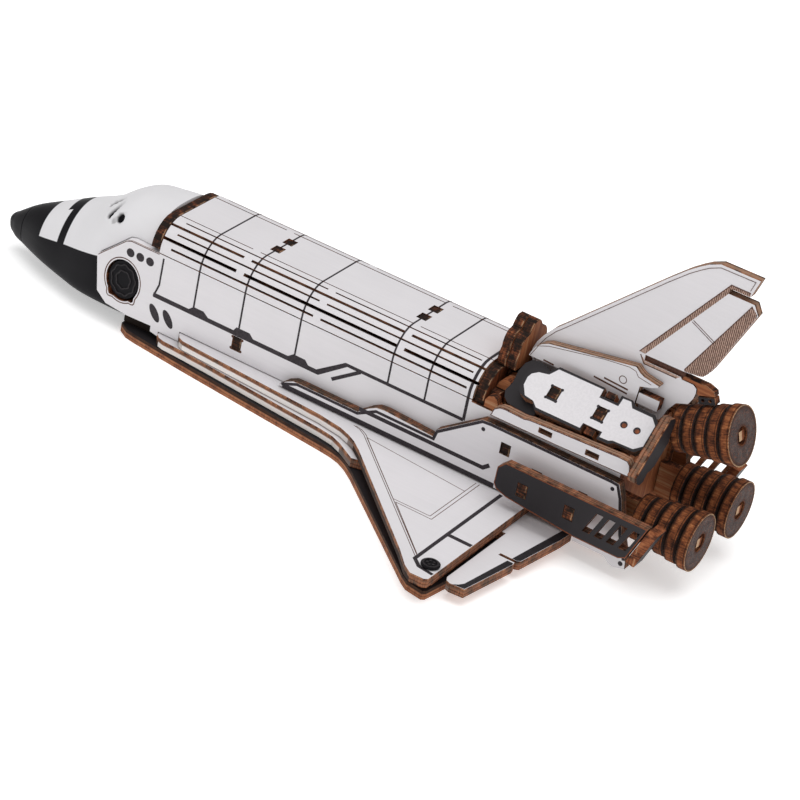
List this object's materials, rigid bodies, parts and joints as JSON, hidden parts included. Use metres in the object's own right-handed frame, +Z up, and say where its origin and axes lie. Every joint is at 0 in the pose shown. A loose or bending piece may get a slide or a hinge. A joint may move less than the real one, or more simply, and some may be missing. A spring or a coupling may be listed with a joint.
{
  "type": "wooden model space shuttle",
  "caption": "Laser-cut plywood model of a delta-winged space shuttle orbiter: moulded nose shell, kerf-bent roof, slanted pods, tall fin, stacked-disc engines, flat belly.",
  "frame": {"origin": "on the floor under the middle of the model's length and width", "axes": "+X runs aft from the nose, +Y to starboard, +Z up"},
  "size_m": [0.234, 0.1418, 0.0878],
  "materials": {
    "white_printed_ply": "thin plywood printed satin white on its face, edges laser-burnt brown",
    "black_printed_ply": "thin plywood printed matt black on its face, edges laser-burnt brown",
    "bare_burnt_ply": "bare laser-cut plywood, edges burnt dark brown with pale ply lines",
    "moulded_white": "smooth satin moulded plastic, white above and black below",
    "moulded_black": "smooth satin black moulded plastic"
  },
  "bodies": {
    "root": {"belly_board": "black_printed_ply", "cross_rib_1": "bare_burnt_ply", "cross_rib_2": "bare_burnt_ply", "engine_plate": "bare_burnt_ply", "fin_board": "white_printed_ply", "fin_brace_1": "bare_burnt_ply", "fin_brace_2": "bare_burnt_ply", "front_collar": "bare_burnt_ply", "hull_frame_1": "bare_burnt_ply", "hull_frame_2": "bare_burnt_ply", "hull_frame_3": "bare_burnt_ply", "nose_block": "black_printed_ply", "nose_shell": "moulded_white", "nose_tip_cap": "moulded_black", "pod_rib_1": "bare_burnt_ply", "pod_rib_2": "bare_burnt_ply", "port_engine": "bare_burnt_ply", "port_engine_mount": "bare_burnt_ply", "port_fin_doubler": "white_printed_ply", "port_fin_lug": "white_printed_ply", "port_nose_boss": "moulded_black", "port_plank_end": "bare_burnt_ply", "port_pod_cheek": "black_printed_ply", "port_pod_former": "bare_burnt_ply", "port_pod_plate": "white_printed_ply", "port_pod_rail": "bare_burnt_ply", "port_pod_rear": "black_printed_ply", "port_pod_strip": "white_printed_ply", "port_side_plank": "black_printed_ply", "port_side_plate": "white_printed_ply", "port_wall": "white_printed_ply", "port_wing_button": "moulded_black", "rear_collar": "bare_burnt_ply", "rear_ring": "bare_burnt_ply", "roof_wrap": "white_printed_ply", "starboard_engine": "bare_burnt_ply", "starboard_engine_mount": "bare_burnt_ply", "starboard_fin_doubler": "white_printed_ply", "starboard_fin_lug": "white_printed_ply", "starboard_nose_boss": "moulded_black", "starboard_plank_end": "bare_burnt_ply", "starboard_pod_cheek": "black_printed_ply", "starboard_pod_former": "bare_burnt_ply", "starboard_pod_plate": "white_printed_ply", "starboard_pod_rail": "bare_burnt_ply", "starboard_pod_rear": "black_printed_ply", "starboard_pod_strip": "white_printed_ply", "starboard_side_plank": "black_printed_ply", "starboard_side_plate": "white_printed_ply", "starboard_wall": "white_printed_ply", "starboard_wing_button": "moulded_black", "strake_board": "white_printed_ply", "tail_bracket": "black_printed_ply", "tail_spine": "bare_burnt_ply", "top_engine": "bare_burnt_ply", "top_engine_rod": "bare_burnt_ply", "wing_board": "white_printed_ply"}
  },
  "joints": []
}
